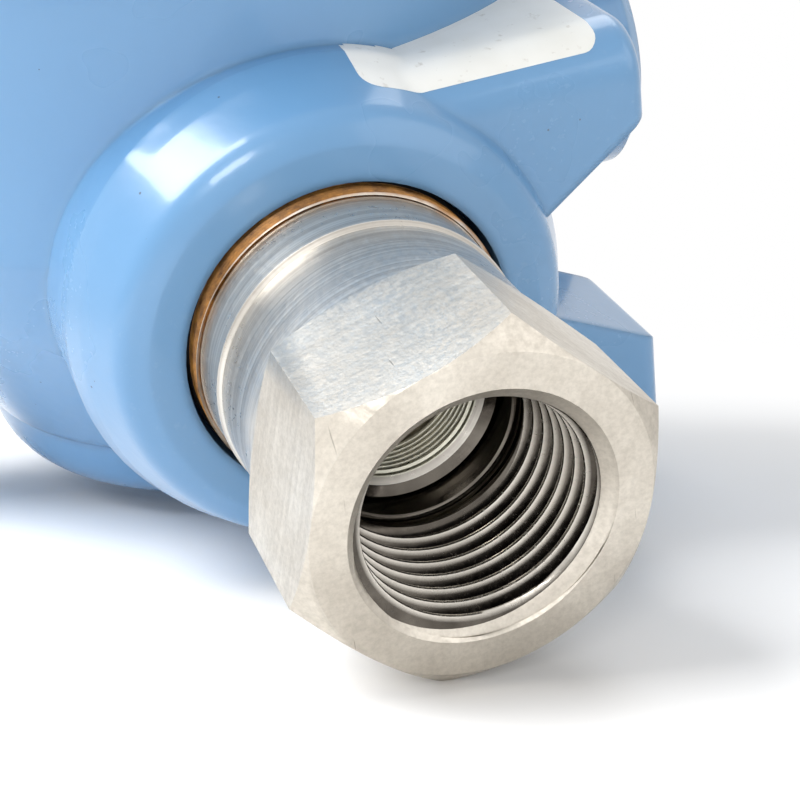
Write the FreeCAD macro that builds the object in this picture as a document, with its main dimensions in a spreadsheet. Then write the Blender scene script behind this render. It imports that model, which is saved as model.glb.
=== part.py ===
import FreeCAD, Part
import os
import Sketcher

# Pressure transmitter with a threaded process connection and a two-compartment cast housing.
# Origin: centre of the process connection's end face.  +Z runs up the sensor axis into the housing,
# the conduit entries lie along X and the two covers along Y.

V = FreeCAD.Vector
doc = FreeCAD.newDocument("pressure_transmitter")
sheet = doc.addObject("Spreadsheet::Sheet", "sizes")

# Every size is named once here, in millimetres.  A text that starts with "=" is worked out from others.
SIZES = [
    # process connection: hexagon, neck, shoulder and the module thread that the housing screws on to
    ("hexAcross", "27"), ("hexFaceRadius", "13.5"), ("hexChamfer", "2"), ("hexBackChamfer", "1.9"),
    ("hexLength", "14.7"), ("neckRadius", "13.33"), ("neckLength", "9.8"), ("shoulderRadius", "13.6"),
    ("shoulderLength", "4.5"), ("moduleRadius", "14.1"), ("moduleLength", "19"),
    ("portMouthRadius", "10.65"), ("portSink", "1.3"), ("portRadius", "9.1"),
    ("portDepth", "15.5"), ("reliefRadius", "8.7"), ("reliefDepth", "18.6"), ("boreRadius", "7.2"),
    ("boreDepth", "24"),
    # sensor inside the module
    ("diaphragmThick", "0.5"), ("diaphragmFit", "0.02"), ("waveHeight", "0.3"), ("cellRadius", "9"),
    ("cellWeb", "8"), ("cellThick", "7"), ("channelRadius", "1.2"), ("cellFit", "0.02"),
    ("headerThick", "6.4"), ("pinRadius", "0.4"), ("pinCircle", "2.5"), ("pinLength", "1.2"),
    # housing neck: mouth, ring and flank round the module
    ("neckFit", "0.1"), ("mouthRadius", "14.7"), ("mouthDepth", "5.4"), ("ringFaceAt", "30.6"),
    ("ringFaceRadius", "17.8"), ("ringRadius", "23.2"), ("ringFlank", "8.7"), ("neckBlockTop", "60"),
    ("ringEase", "2.4"), ("ringEdge", "3"), ("sealCord", "1"), ("sealGap", "0.3"), ("sealAt", "2.4"),
    ("moduleClear", "3.4"),
    # barrel with a compartment at each end, along Y
    ("barrelHeight", "82"), ("frontLip", "50"), ("frontStep", "34"), ("frontRadius", "42"),
    ("waistAt", "6"), ("waistSlope", "9"), ("waistRadius", "38.4"), ("shoulderRound", "20"),
    ("rearRadius", "29.6"), ("rearLip", "21"), ("wallFront", "9"), ("wallRear", "2"),
    ("frontInner", "33.5"), ("rearInner", "24"), ("frontThread", "36"), ("rearThread", "26"),
    ("threadDepth", "11"),
    # conduit arms along X
    ("armRadius", "14.8"), ("armHeight", "86"), ("armChamfer", "1.5"), ("collarReach", "49"),
    ("conduitRadius", "9.1"), ("conduitMouth", "10.6"), ("conduitDepth", "17"), ("wireRadius", "8"),
    ("wireEnd", "16"),
    # pair of lugs beside the neck ring, with a notch between them that opens toward +X
    ("lugBottom", "33.6"), ("lugReach", "30.7"), ("lugFront", "20.6"), ("frontLugWidth", "8.2"),
    ("lugRear", "18"), ("rearLugWidth", "7.6"), ("lugRoot", "19.5"), ("lugNotch", "4.6"),
    ("frontLugTop", "60"), ("rearLugTop", "48"), ("lugRound", "5"), ("lugEndRound", "1.6"),
    ("earScrewX", "24.5"), ("earScrewZ", "41"),
    # covers
    ("coverFit", "0.3"), ("coverDisc", "9"), ("rearCoverDisc", "8"), ("skirtLength", "8.5"),
    ("skirtWall", "4.5"),
    ("coverFloor", "3.4"), ("coverRound", "4"), ("rearCoverRound", "5.5"), ("coverSealCord", "1"),
    ("coverSealAt", "1.8"), ("rearCoverInset", "0.8"),
    # inside the compartments
    ("boardRadius", "28"), ("boardThick", "1.6"), ("standoffRadius", "2.6"), ("standoffLength", "7"),
    ("standoffCircle", "22"), ("standoffThread", "1.4"), ("standoffSeat", "5"), ("screwShank", "1.3"),
    ("screwHeadRadius", "2.4"), ("screwHead", "1.6"),
    ("screwFit", "0.05"), ("boardHole", "1.5"), ("chipLength", "14"), ("chipWidth", "9"),
    ("chipHeight", "2.4"), ("capRadius", "4"), ("capHeight", "9"),
    ("blockLength", "30"), ("blockHeight", "20"), ("blockDepth", "12"), ("blockStep", "4"),
    ("blockRound", "1"),
    ("terminalSpacing", "9.6"), ("terminalRadius", "3"), ("terminalHead", "2.2"), ("terminalShank", "1.75"),
    ("terminalDepth", "7"), ("clampRadius", "4.2"), ("clampThick", "1"), ("feedRadius", "5"),
    ("feedAt", "16.5"),
    ("feedFlange", "6.5"), ("feedFlangeThick", "1.5"),
    ("earthX", "8"), ("earthZ", "16"), ("earthRadius", "3.6"), ("earthHead", "2.6"), ("earthShank", "2"),
    ("earthDepth", "6"), ("washerRadius", "4"), ("washerThick", "1"),
    ("flexWidth", "8"), ("flexThick", "0.5"), ("flexPlug", "3.4"), ("flexPlugHeight", "2.2"),
    ("flexDrop", "20.4"),
    ("flexGap", "0.3"), ("flexAt", "12.4"), ("flexTail", "3"),
    # screws in the casting and the conduit plug
    ("setRadius", "2"), ("setLength", "7"), ("setSocket", "1.1"), ("setSocketDepth", "2"),
    ("setFit", "0.1"), ("setGap", "0.4"),
    ("setHeight", "37.2"), ("lockLength", "5"), ("lockInset", "5"),
    ("plugFit", "0.02"), ("plugLength", "14"), ("plugHead", "10.4"), ("plugHeadThick", "2"),
    ("plugSocket", "4.8"),
    ("plugSocketDepth", "7"),
    # derived places
    ("neckTop", "=hexLength + neckLength"), ("shoulderTop", "=neckTop + shoulderLength"),
    ("moduleTop", "=shoulderTop + moduleLength"), ("cellFloor", "=boreDepth + diaphragmThick + cellWeb"),
    ("neckHole", "=moduleRadius + neckFit"), ("boreTop", "=moduleTop + moduleClear"),
    ("ringBack", "=ringFaceAt + ringFlank"),
    ("flexRise", "=barrelHeight - flexDrop - cellFloor - cellThick - headerThick - pinLength - flexPlugHeight"
                 " - flexGap"),
    ("boardBack", "=wallFront + standoffLength"), ("boardFace", "=boardBack + boardThick"),
]
for row, (name, value) in enumerate(SIZES, start=1):
    sheet.set("A%d" % row, name)
    sheet.set("B%d" % row, value)
    sheet.setAlias("B%d" % row, name)
doc.recompute()

WORDS = sorted((name for name, value in SIZES), key=len, reverse=True)


def in_sheet(text):
    """Turn the sheet's words in a formula into references to its cells."""
    out, i = "", 0
    while i < len(text):
        word = next((w for w in WORDS if text.startswith(w, i)), None)
        out += "sizes." + word if word else text[i]
        i += len(word) if word else 1
    return out


def number(text):
    return float(sheet.evalExpression(in_sheet(text)))


def origin_plane(body, role):
    return [o for o in body.Origin.OriginFeatures if o.Role == role][0]


def new_body(label):
    body = doc.addObject("PartDesign::Body", label)
    body.Label = label
    return body


def new_sketch(body, name, role, out="0", rise="0"):
    """Sketch on an origin plane, moved out along the plane's normal and up the sheet's own vertical."""
    sketch = body.newObject("Sketcher::SketchObject", name)
    sketch.AttachmentSupport = [(origin_plane(body, role), "")]
    sketch.MapMode = "FlatFace"
    sketch.setExpression("AttachmentOffset.Base.z", in_sheet(out))
    sketch.setExpression("AttachmentOffset.Base.y", in_sheet(rise))
    return sketch


def measure(sketch, kind, where, text):
    """Dimension tied to a formula of the sheet."""
    value = number(text)
    if kind == "Radius":
        index = sketch.addConstraint(Sketcher.Constraint(kind, where, value))
    else:
        index = sketch.addConstraint(Sketcher.Constraint(kind, -1, 1, where[0], where[1], value))
    sketch.setExpression("Constraints[%d]" % index, in_sheet(text))


def circle(sketch, radius, x="0", y="0"):
    geo = sketch.addGeometry(Part.Circle(V(number(x), number(y), 0), V(0, 0, 1), number(radius)), False)
    measure(sketch, "Radius", geo, radius)
    measure(sketch, "DistanceX", (geo, 3), x)
    measure(sketch, "DistanceY", (geo, 3), y)


def outline(sketch, corners):
    """Closed polygon whose corners are pairs of formulas."""
    spots = [V(number(a), number(b), 0) for a, b in corners]
    first = sketch.GeometryCount
    for i, spot in enumerate(spots):
        sketch.addGeometry(Part.LineSegment(spot, spots[(i + 1) % len(spots)]), False)
    for i in range(len(spots)):
        sketch.addConstraint(Sketcher.Constraint("Coincident", first + i, 2, first + (i + 1) % len(spots), 1))
    for i, (a, b) in enumerate(corners):
        measure(sketch, "DistanceX", (first + i, 1), a)
        measure(sketch, "DistanceY", (first + i, 1), b)


AXES = {  # turning axis: the plane that the profile is drawn on and the sheet axis it turns about
    "Z": ("XZ_Plane", "V_Axis"), "Y": ("YZ_Plane", "H_Axis"), "X": ("XZ_Plane", "H_Axis"),
}


def turn(body, name, axis, corners, rise="0", cut=False):
    """Revolve a profile about an axis: added, or cut as a groove."""
    plane, spin = AXES[axis]
    sketch = new_sketch(body, name + "_profile", plane, "0", rise)
    outline(sketch, corners)
    feature = body.newObject("PartDesign::Groove" if cut else "PartDesign::Revolution", name)
    feature.Profile = sketch
    feature.ReferenceAxis = (sketch, [spin])
    feature.Angle = 360
    return feature


def extrude(body, name, sketch, length, cut=False, back=False, both=False):
    """Pad or pocket of a sketch by a formula's length."""
    feature = body.newObject("PartDesign::Pocket" if cut else "PartDesign::Pad", name)
    feature.Profile = sketch
    feature.setExpression("Length", in_sheet(length))
    feature.Reversed = back
    feature.Midplane = both
    return feature


def drill(body, name, role, radius, depth, out="0", rise="0", x="0", y="0", back=False):
    """Round hole from a plane into the body, cut against the plane's normal unless back is set."""
    sketch = new_sketch(body, name + "_circle", role, out, rise)
    circle(sketch, radius, x, y)
    before = volume_now(body)
    feature = extrude(body, name, sketch, depth, cut=True, back=back)
    doc.recompute()
    if not volume_now(body) < before - 1e-6:
        raise RuntimeError(name + " removed nothing")
    return feature


def volume_now(body):
    doc.recompute()
    return body.Shape.Volume


def edges_where(shape, test):
    return ["Edge%d" % i for i, edge in enumerate(shape.Edges, start=1) if test(edge)]


def round_off(body, name, radius, test):
    """Fillet on the edges of the body's tip that pass the test."""
    doc.recompute()
    base = body.Tip
    names = edges_where(base.Shape, test)
    if not names:
        raise RuntimeError(name + " found no edge")
    fillet = body.newObject("PartDesign::Fillet", name)
    fillet.Base = (base, names)
    fillet.setExpression("Radius", in_sheet(radius))
    doc.recompute()
    return fillet


def near(a, b, tolerance=0.02):
    return abs(a - b) < tolerance


def place(obj, x="0", y="0", z="0", axis=V(0, 0, 1), angle=0):
    obj.Placement = FreeCAD.Placement(V(0, 0, 0), FreeCAD.Rotation(axis, angle))
    for letter, text in (("x", x), ("y", y), ("z", z)):
        obj.setExpression("Placement.Base." + letter, in_sheet(text))


# ---------------------------------------------------------------- process connection, one turned piece
connector = new_body("process_connector")
hexagon = new_sketch(connector, "hex_outline", "XY_Plane")
HALF = "hexAcross / 2"
CORNER = "hexAcross / 2 / cos(30)"
TURN = -14.4
outline(hexagon, [("%s * cos(%g)" % (CORNER, TURN + 60 * k), "%s * sin(%g)" % (CORNER, TURN + 60 * k))
                  for k in range(6)])
extrude(connector, "hex_bar", hexagon, "hexLength")
turn(connector, "hex_front_chamfer", "Z",
     [("hexFaceRadius", "-1"), ("%s + 2" % CORNER, "-1"), ("%s + 2" % CORNER, "hexChamfer * 1.96"),
      ("hexFaceRadius", "0")], cut=True)
turn(connector, "hex_back_chamfer", "Z",
     [("neckRadius", "hexLength"), ("%s + 2" % CORNER, "hexLength - hexBackChamfer * 1.9"),
      ("%s + 2" % CORNER, "hexLength + 1"), ("neckRadius", "hexLength + 1")], cut=True)
SEAL_Z = "(ringFaceAt + sealAt)"
SEAL_FLOOR = "mouthRadius - sealGap - 2 * sealCord"
SEAL_GROOVE = [("moduleRadius", SEAL_Z + " - sealCord"), (SEAL_FLOOR, SEAL_Z + " - sealCord"),
               (SEAL_FLOOR, SEAL_Z + " + sealCord"), ("moduleRadius", SEAL_Z + " + sealCord")]
turn(connector, "neck_and_module", "Z",
     [("0", "hexLength - 1"), ("neckRadius", "hexLength - 1"), ("neckRadius", "neckTop"),
      ("shoulderRadius", "neckTop + 0.4"), ("shoulderRadius", "shoulderTop"),
      ("moduleRadius", "shoulderTop + 0.5")] + SEAL_GROOVE +
     [("moduleRadius", "moduleTop"), ("0", "moduleTop")])
turn(connector, "process_bore", "Z",
     [("0", "0"), ("portMouthRadius", "0"), ("portRadius", "portSink"), ("portRadius", "portDepth"),
      ("reliefRadius", "portDepth + 0.4"), ("reliefRadius", "reliefDepth"), ("boreRadius", "reliefDepth + 1"),
      ("boreRadius", "boreDepth + diaphragmThick"), ("0", "boreDepth + diaphragmThick")], cut=True)
turn(connector, "capillary", "Z",
     [("0", "boreDepth"), ("channelRadius", "boreDepth"), ("channelRadius", "cellFloor + 1"),
      ("0", "cellFloor + 1")],
     cut=True)
turn(connector, "cell_pocket", "Z",
     [("0", "cellFloor"), ("cellRadius", "cellFloor"), ("cellRadius", "moduleTop"), ("0", "moduleTop")],
     cut=True)

# Corrugated isolating diaphragm at the bottom of the process bore.
diaphragm = new_body("isolating_diaphragm")
TOPSIDE = "boreDepth + diaphragmThick"
EDGE = "(boreRadius - diaphragmFit)"
under = [("%s * %d / 9" % (EDGE, k), "boreDepth + waveHeight * %d" % (k % 2)) for k in range(1, 9)]
turn(diaphragm, "disc", "Z",
     [("0", "boreDepth")] + under + [(EDGE, "boreDepth"), (EDGE, TOPSIDE), ("0", TOPSIDE)])

cell = new_body("sensor_cell")
turn(cell, "cup", "Z",
     [("0", "cellFloor"), ("cellRadius - cellFit", "cellFloor"),
      ("cellRadius - cellFit", "cellFloor + cellThick"),
      ("0", "cellFloor + cellThick")])

header = new_body("header")
turn(header, "glass_seal", "Z",
     [("0", "cellFloor + cellThick"), ("cellRadius - cellFit", "cellFloor + cellThick"),
      ("cellRadius - cellFit", "cellFloor + cellThick + headerThick"),
      ("0", "cellFloor + cellThick + headerThick")])
pins = new_sketch(header, "pin_circle", "XY_Plane", "cellFloor + cellThick + headerThick / 2")
circle(pins, "pinRadius", "pinCircle", "0")
pin = extrude(header, "pin", pins, "headerThick / 2 + pinLength")
doc.recompute()
pin_ring = header.newObject("PartDesign::PolarPattern", "pins_around")
pin_ring.Originals = [pin]
pin_ring.Axis = (origin_plane(header, "Z_Axis"), [""])
pin_ring.Angle = 360
pin_ring.Occurrences = 5
header.Tip = pin_ring

# ---------------------------------------------------------------- housing casting
# The outside is one fusion of the barrel, the arms, their web, the neck ring and the earth ear; every
# compartment, bore and screw hole is then cut out of it in one go.
barrel = new_body("barrel_form")
turn(barrel, "barrel_turned", "Y",
     [("-frontLip", "0"), ("-frontLip", "frontRadius"), ("-frontStep", "frontRadius"),
      ("-frontStep + 4", "frontRadius - 1"), ("-waistAt", "frontRadius - 1"),
      ("waistSlope - waistAt", "waistRadius"),
      ("rearLip", "rearRadius"), ("rearLip", "0")],
     rise="barrelHeight")
round_off(barrel, "shoulder_round", "shoulderRound",
          lambda e: near(e.CenterOfMass.y, number("waistSlope - waistAt"))
          and e.Length > 6 * number("waistRadius"))

neck = new_body("neck_form")
turn(neck, "neck_ring", "Z",
     [("0", "ringFaceAt"), ("ringFaceRadius", "ringFaceAt"),
      ("ringFaceRadius + ringEase", "ringFaceAt + ringEase / 2"),
      ("ringRadius - ringEase / 3", "ringBack - ringEase"), ("ringRadius", "ringBack"),
      ("ringRadius", "neckBlockTop"), ("0", "neckBlockTop")])
round_off(neck, "ring_edge", "ringEdge",
          lambda e: near(e.CenterOfMass.z, number("ringFaceAt + ringEase / 2")))

arms = new_body("arm_form")
turn(arms, "arms_turned", "X",
     [("-collarReach", "0"), ("-collarReach", "armRadius - armChamfer"),
      ("-collarReach + armChamfer", "armRadius"),
      ("collarReach - armChamfer", "armRadius"), ("collarReach", "armRadius - armChamfer"),
      ("collarReach", "0")],
     rise="armHeight")


def lug(name, corners, top):
    """Lug beside the neck ring: a plan outline raised from the lugs' common underside."""
    body = new_body(name)
    sketch = new_sketch(body, name + "_plan", "XY_Plane", "lugBottom")
    outline(sketch, corners)
    extrude(body, name + "_block", sketch, "%s - lugBottom" % top)
    return body


def along(e, axis, bottom):
    """Straight edge along X or Y, on the lugs' underside or not."""
    a, b = e.Vertexes[0].Point, e.Vertexes[-1].Point
    other = abs(a.y - b.y) if axis == "X" else abs(a.x - b.x)
    return other < 0.01 and abs(a.z - b.z) < 0.01 and near(e.CenterOfMass.z, number("lugBottom")) == bottom


front_lug = lug("front_lug_form",
                [("0", "-lugFront"), ("lugReach", "-lugFront"), ("lugReach", "-lugFront + frontLugWidth"),
                 ("lugRoot", "-lugNotch"), ("0", "-lugNotch")], "frontLugTop")
round_off(front_lug, "front_lug_edge", "lugRound",
          lambda e: along(e, "X", True) and near(e.CenterOfMass.y, -number("lugFront")))
round_off(front_lug, "front_lug_end", "lugEndRound",
          lambda e: near(e.CenterOfMass.x, number("lugReach")) and
          (e.CenterOfMass.y < -number("lugFront") + 0.5 or along(e, "Y", True)))
rear_lug = lug("rear_lug_form",
               [("0", "lugNotch"), ("lugRoot", "lugNotch"), ("lugReach", "lugRear - rearLugWidth"),
                ("lugReach", "lugRear"), ("0", "lugRear")], "rearLugTop")
round_off(rear_lug, "rear_lug_end", "lugEndRound",
          lambda e: near(e.CenterOfMass.x, number("lugReach"))
          and abs(e.CenterOfMass.y - number("lugRear")) > 0.5)

outside = doc.addObject("Part::MultiFuse", "casting_outside")
outside.Shapes = [barrel, neck, arms, front_lug, rear_lug]

hollow = new_body("hollow_form")
turn(hollow, "front_compartment", "Y",
     [("-frontLip - 1", "0"), ("-frontLip - 1", "frontThread"), ("-frontLip + threadDepth", "frontThread"),
      ("-frontLip + threadDepth", "frontInner"), ("-wallFront", "frontInner"), ("-wallFront", "0")],
     rise="barrelHeight")
rear_hollow = new_body("rear_hollow_form")
turn(rear_hollow, "rear_compartment", "Y",
     [("wallRear", "0"), ("wallRear", "rearInner"), ("rearLip - threadDepth", "rearInner"),
      ("rearLip - threadDepth", "rearThread"), ("rearLip + 1", "rearThread"), ("rearLip + 1", "0")],
     rise="barrelHeight")
neck_bore = new_body("neck_bore_form")
turn(neck_bore, "module_bore", "Z",
     [("0", "ringFaceAt - 1"), ("mouthRadius", "ringFaceAt - 1"), ("mouthRadius", "ringFaceAt + mouthDepth"),
      ("neckHole", "ringFaceAt + mouthDepth + 0.4"), ("neckHole", "boreTop"), ("0", "boreTop")])
conduits = new_body("conduit_form")
turn(conduits, "right_conduit", "X",
     [("wireEnd", "0"), ("wireEnd", "wireRadius"), ("collarReach - conduitDepth", "wireRadius"),
      ("collarReach - conduitDepth", "conduitRadius"), ("collarReach - 1.3", "conduitRadius"),
      ("collarReach", "conduitMouth"), ("collarReach + 1", "conduitMouth"), ("collarReach + 1", "0")],
     rise="armHeight")
left_conduit = new_body("left_conduit_form")
turn(left_conduit, "left_conduit", "X",
     [("-wireEnd", "0"), ("-collarReach - 1", "0"), ("-collarReach - 1", "conduitMouth"),
      ("-collarReach", "conduitMouth"), ("-collarReach + 1.3", "conduitRadius"),
      ("-collarReach + conduitDepth", "conduitRadius"), ("-collarReach + conduitDepth", "wireRadius"),
      ("-wireEnd", "wireRadius")], rise="armHeight")


def rod(name, radius, length, x, y, z, axis, angle):
    """Plain cylinder used to cut a hole: its foot at x, y, z and its axis turned from +Z."""
    rod = doc.addObject("Part::Cylinder", name)
    rod.setExpression("Radius", in_sheet(radius))
    rod.setExpression("Height", in_sheet(length))
    place(rod, x, y, z, axis, angle)
    return rod


TOWARD_FRONT = (V(1, 0, 0), 90)    # +Z turned to -Y
TOWARD_REAR = (V(1, 0, 0), -90)    # +Z turned to +Y
UPWARD = (V(0, 0, 1), 0)
FEED_Z = "barrelHeight + feedAt"
SET_HOLE = "setRadius + setFit"
holes = [
    rod("feedthrough_hole", "feedRadius", "wallFront + wallRear + 2", "0", "-wallFront - 1", FEED_Z,
        *TOWARD_REAR),
    rod("set_screw_hole", SET_HOLE, "ringRadius", "0", "0", "setHeight", *TOWARD_REAR),
    rod("front_lock_hole", SET_HOLE, "frontRadius", "0", "-frontLip + lockInset", "barrelHeight", *UPWARD),
    rod("rear_lock_hole", SET_HOLE, "waistRadius", "0", "rearLip - lockInset", "barrelHeight", *UPWARD),
    rod("inner_earth_hole", "earthShank", "earthDepth", "-earthX", "wallRear - earthDepth",
        "barrelHeight - earthZ", *TOWARD_REAR),
    rod("outer_earth_hole", "earthShank", "earthDepth", "earScrewX", "lugRear - earthDepth",
        "earScrewZ", *TOWARD_REAR),
]
STANDOFF_ANGLES = (35, 145, 215, 325)
for k, angle in enumerate(STANDOFF_ANGLES):
    holes.append(rod("standoff_hole_%d" % k, "standoffThread", "standoffSeat", "standoffCircle * cos(%d)" % angle,
                     "-wallFront + standoffSeat", "barrelHeight + standoffCircle * sin(%d)" % angle,
                     *TOWARD_FRONT))

# The flex strip goes up from the neck bore into the front compartment, however high the barrel stands.
passage = doc.addObject("Part::Box", "flex_passage")
for prop, text in (("Length", "flexWidth + 2 * flexGap"), ("Width", "flexThick + 1.5"),
                   ("Height", "barrelHeight - frontInner + 1.5 - ringFaceAt")):
    passage.setExpression(prop, in_sheet(text))
place(passage, "-flexWidth / 2 - flexGap", "-flexAt - 1", "ringFaceAt")
holes.append(passage)

# The neck block stops flush with the rear rim, below the cover that screws on there.
relief = doc.addObject("Part::Box", "rear_cover_relief")
for prop, text in (("Length", "ringRadius * 2 + 2"), ("Width", "ringRadius"), ("Height", "rearRadius")):
    relief.setExpression(prop, in_sheet(text))
place(relief, "-ringRadius - 1", "rearLip", "barrelHeight - rearRadius - coverFit")
holes.append(relief)

casting = doc.addObject("Part::Cut", "housing_casting")
casting.Label = "housing_casting"
cavities = doc.addObject("Part::MultiFuse", "casting_cavities")
cavities.Shapes = [hollow, rear_hollow, neck_bore, conduits, left_conduit] + holes
casting.Base = outside
casting.Tool = cavities
doc.recompute()


# ---------------------------------------------------------------- covers and their seals
def cover(label, side, lip, radius, thread, disc, rounding):
    """Screwed cover: a disc over the rim, and a skirt that goes in, with a groove for its seal."""
    body = new_body(label)
    skirt = "(%s - coverFit)" % thread
    floor = "(%s - 2 * coverFit - 2 * coverSealCord)" % thread
    seat = "(%s + coverFit)" % lip
    seal = "(%s - coverSealAt)" % lip
    wall = "(%s - skirtWall)" % skirt
    spots = [(seat + " + " + disc, "0"), (seat + " + " + disc, radius), (seat, radius), (seat, skirt),
             (seal + " + coverSealCord + coverFit", skirt), (seal + " + coverSealCord + coverFit", floor),
             (seal + " - coverSealCord - coverFit", floor), (seal + " - coverSealCord - coverFit", skirt),
             (lip + " - skirtLength", skirt), (lip + " - skirtLength", wall),
             (seat + " + " + disc + " - coverFloor", wall), (seat + " + " + disc + " - coverFloor", "0")]
    turn(body, label + "_turned", "Y", [("%s(%s)" % (side, y), r) for y, r in spots], rise="barrelHeight")
    edge = number(seat + " + " + disc)
    round_off(body, label + "_round", rounding,
              lambda e: near(abs(e.CenterOfMass.y), edge) and e.Length > 6 * number(radius))
    return body


def ring_seal(label, side, lip, thread):
    """Round cord in the cover's groove, clear of the cover and of the housing."""
    seal = doc.addObject("Part::Torus", label)
    seal.Label = label
    seal.setExpression("Radius1", in_sheet("%s - coverFit - coverSealCord" % thread))
    seal.setExpression("Radius2", in_sheet("coverSealCord"))
    place(seal, "0", "%s(%s - coverSealAt)" % (side, lip), "barrelHeight", *TOWARD_FRONT)
    return seal


front_cover = cover("front_cover", "-", "frontLip", "frontRadius", "frontThread", "coverDisc", "coverRound")
rear_cover = cover("rear_cover", "", "rearLip", "(rearRadius - rearCoverInset)", "rearThread",
                   "rearCoverDisc",
                   "rearCoverRound")
front_seal = ring_seal("front_cover_seal", "-", "frontLip", "frontThread")
rear_seal = ring_seal("rear_cover_seal", "", "rearLip", "rearThread")

neck_seal = doc.addObject("Part::Torus", "neck_seal")
neck_seal.setExpression("Radius1", in_sheet("mouthRadius - sealGap - sealCord"))
neck_seal.setExpression("Radius2", in_sheet("sealCord"))
place(neck_seal, "0", "0", SEAL_Z)


# ---------------------------------------------------------------- turned small parts
def turned_part(label, corners, x="0", y="0", z="0", axis=V(0, 0, 1), angle=0):
    """Body turned about its own Z, then placed."""
    body = new_body(label)
    turn(body, label + "_turned", "Z", corners)
    place(body, x, y, z, axis, angle)
    return body


def group(label, pieces):
    """Equal pieces that share one node, each a solid of its own."""
    node = doc.addObject("Part::Compound", label)
    node.Label = label
    node.Links = pieces
    return node


plug = turned_part("module_plug", [("0", "0"), ("flexPlug", "0"), ("flexPlug", "flexPlugHeight"),
                                   ("0", "flexPlugHeight")],
                   z="cellFloor + cellThick + headerThick + pinLength")

ON_CIRCLE = [("standoffCircle * cos(%d)" % a, "barrelHeight + standoffCircle * sin(%d)" % a)
             for a in STANDOFF_ANGLES]
SCREW_HOLE = "screwShank + screwFit"
standoffs = group("board_standoffs", [
    turned_part("standoff_%d" % k, [("0", "-standoffSeat"), ("standoffThread", "-standoffSeat"),
                                    ("standoffThread", "0"), ("standoffRadius", "0"),
                                    ("standoffRadius", "standoffLength"), (SCREW_HOLE, "standoffLength"),
                                    (SCREW_HOLE, "1"), ("0", "1")],
                x, "-wallFront", z, *TOWARD_FRONT) for k, (x, z) in enumerate(ON_CIRCLE)])
board_screws = group("board_screws", [
    turned_part("board_screw_%d" % k, [("0", "1.4"), ("screwShank", "1.4"),
                                       ("screwShank", "standoffLength + boardThick"),
                                       ("screwHeadRadius", "standoffLength + boardThick"),
                                       ("screwHeadRadius", "standoffLength + boardThick + screwHead"),
                                       ("0", "standoffLength + boardThick + screwHead")],
                x, "-wallFront", z, *TOWARD_FRONT) for k, (x, z) in enumerate(ON_CIRCLE)])

board = new_body("electronics_board")
board_sketch = new_sketch(board, "board_outline", "XZ_Plane", "boardBack", "barrelHeight")
circle(board_sketch, "boardRadius")
for a in STANDOFF_ANGLES:
    circle(board_sketch, "boardHole", "standoffCircle * cos(%d)" % a, "standoffCircle * sin(%d)" % a)
extrude(board, "board_plate", board_sketch, "boardThick")


def block(label, length, width, height, x, y, z):
    """Plain rectangular block centred on x and z, with its back at y and its face toward the front."""
    box = doc.addObject("Part::Box", label)
    for prop, text in (("Length", length), ("Width", height), ("Height", width)):
        box.setExpression(prop, in_sheet(text))
    place(box, "%s - (%s) / 2" % (x, length), "%s - (%s)" % (y, height), "%s - (%s) / 2" % (z, width))
    return box


chips = group("board_chips", [
    block("chip_main", "chipLength", "chipLength", "chipHeight", "0", "-boardFace", "barrelHeight - 2"),
    block("chip_left", "chipLength / 2", "chipWidth", "chipHeight * 0.8", "-14", "-boardFace",
          "barrelHeight + 4"),
    block("chip_socket", "chipLength", "chipWidth / 2", "chipHeight * 2", "0", "-boardFace",
          "barrelHeight - 19"),
])
capacitor = turned_part("filter_capacitor", [("0", "0"), ("capRadius", "0"), ("capRadius", "capHeight - 0.5"),
                                             ("capRadius - 0.5", "capHeight"), ("0", "capHeight")],
                        "14", "-boardFace", "barrelHeight + 3", *TOWARD_FRONT)

flex = new_body("signal_flex")
flex_sketch = new_sketch(flex, "flex_path", "YZ_Plane")
FLEX_LOW = "(cellFloor + cellThick + headerThick + pinLength + flexPlugHeight + flexGap)"
FLEX_HIGH = "(%s + flexRise)" % FLEX_LOW
outline(flex_sketch, [("flexTail", FLEX_LOW), ("flexTail", FLEX_LOW + " + flexThick"),
                      ("-flexAt + flexThick", FLEX_LOW + " + flexThick"), ("-flexAt + flexThick", FLEX_HIGH),
                      ("-boardBack", FLEX_HIGH), ("-boardBack", FLEX_HIGH + " - flexThick"),
                      ("-flexAt", FLEX_HIGH + " - flexThick"), ("-flexAt", FLEX_LOW)])
extrude(flex, "flex_strip", flex_sketch, "flexWidth", both=True)

feed = turned_part("wall_feedthrough", [("0", "-wallRear"), ("feedRadius", "-wallRear"),
                                        ("feedRadius", "wallFront"),
                                        ("feedFlange", "wallFront"),
                                        ("feedFlange", "wallFront + feedFlangeThick"),
                                        ("0", "wallFront + feedFlangeThick")], "0", "0", FEED_Z,
                                        *TOWARD_FRONT)

# Terminal block: a stepped moulding on the compartment wall, with a screw and a clamp for each wire.
terminals = new_body("terminal_block")
block_sketch = new_sketch(terminals, "block_outline", "XZ_Plane", "-wallRear", "barrelHeight")
outline(block_sketch, [("-blockLength / 2", "-blockHeight / 2"), ("blockLength / 2", "-blockHeight / 2"),
                       ("blockLength / 2", "blockHeight / 2"), ("-blockLength / 2", "blockHeight / 2")])
extrude(terminals, "block_base", block_sketch, "blockDepth", back=True)
step_sketch = new_sketch(terminals, "block_ridge", "XZ_Plane", "-wallRear - blockDepth", "barrelHeight")
outline(step_sketch, [("-blockLength / 2", "blockHeight / 2 - blockStep"),
                      ("blockLength / 2", "blockHeight / 2 - blockStep"),
                      ("blockLength / 2", "blockHeight / 2"), ("-blockLength / 2", "blockHeight / 2")])
extrude(terminals, "block_step", step_sketch, "blockStep", back=True)
SPOTS = ("-terminalSpacing", "0", "terminalSpacing")
FACE = "wallRear + blockDepth"
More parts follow.
